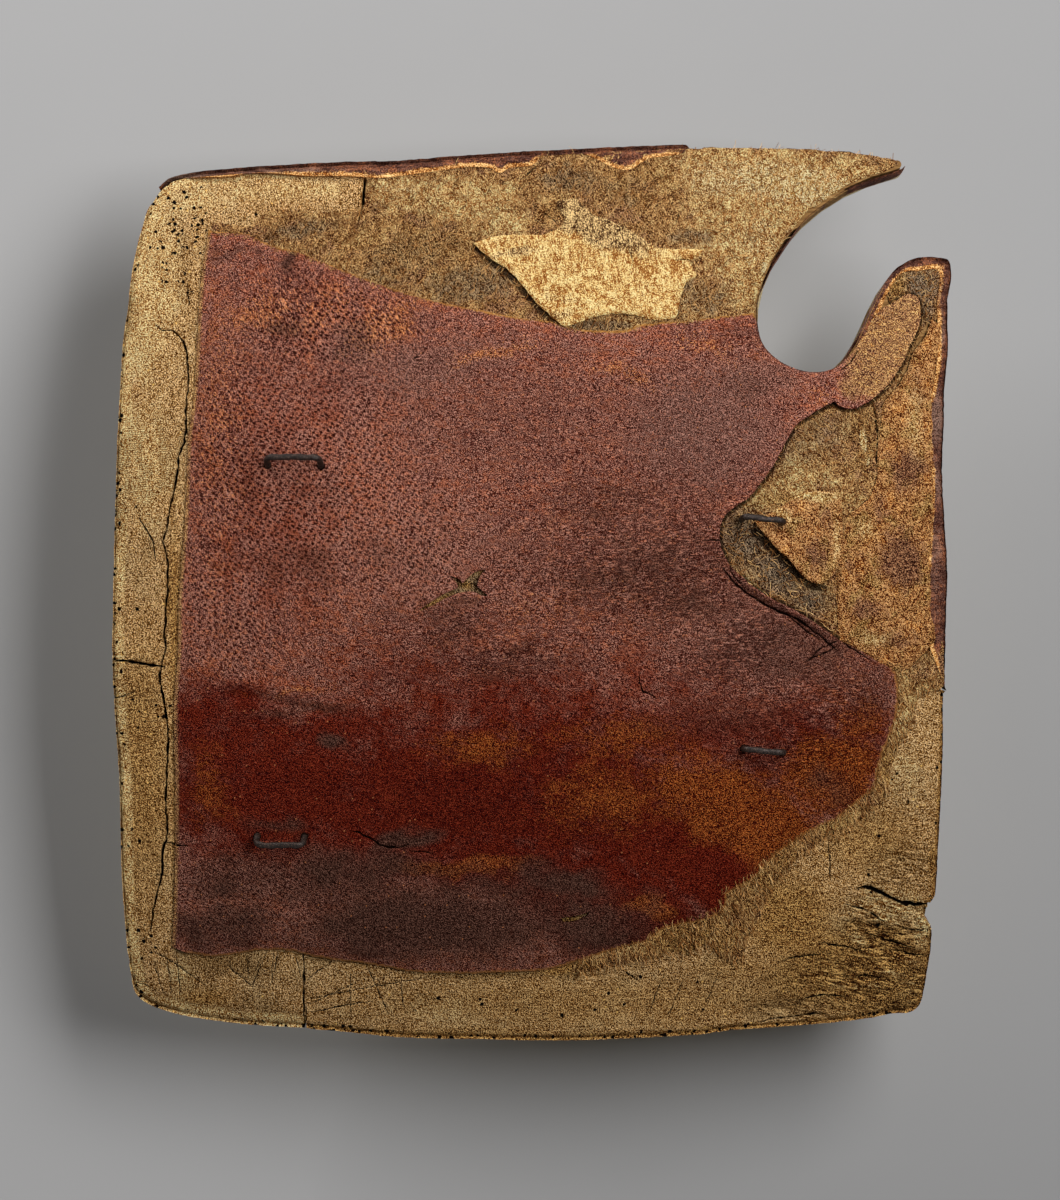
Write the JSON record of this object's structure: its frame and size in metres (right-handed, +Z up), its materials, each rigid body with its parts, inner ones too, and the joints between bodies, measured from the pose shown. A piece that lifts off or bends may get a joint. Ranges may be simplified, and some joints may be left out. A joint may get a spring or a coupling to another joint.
{
  "type": "bouched targe shield",
  "caption": "Horseman's wooden targe with a lance notch, curved and laminated, lined in red leather, with iron staples on its back for the arm straps.",
  "frame": {"origin": "on the surface of the red lining, in the middle of the shield's width and height, where the bearer's arm lies", "axes": "+X to the bearer's right as the bearer looks at the back, where the lance notch is; +Y from the back to the front; +Z up"},
  "size_m": [0.5037, 0.0796, 0.5381],
  "materials": {
    "wood": "bare, aged and worm-eaten",
    "turned_hide": "dark red-brown, worn",
    "linen": "plain weave, glued",
    "gesso": "chalk ground, cracked and worn",
    "fibre": "hair and plant fibre in glue",
    "red_leather": "pigskin, dyed red, worn to a dull sheen",
    "bare_hide": "bare, torn",
    "pale_hide": "pale, dry",
    "iron": "forged, dark, worn bright in places"
  },
  "bodies": {
    "root": {"core_stile": "wood", "core_board_upper": "wood", "core_board_middle": "wood", "core_board_lower": "wood", "front_hide": "turned_hide", "front_linen": "linen", "front_gesso": "gesso", "back_fibre_layer": "fibre", "back_lining": "red_leather", "back_side_hide": "bare_hide", "back_hide_flap": "bare_hide", "back_pale_flake": "pale_hide", "staple_upper_left": "iron", "staple_lower_left": "iron", "staple_upper_right": "iron", "staple_lower_right": "iron"}
  },
  "joints": []
}
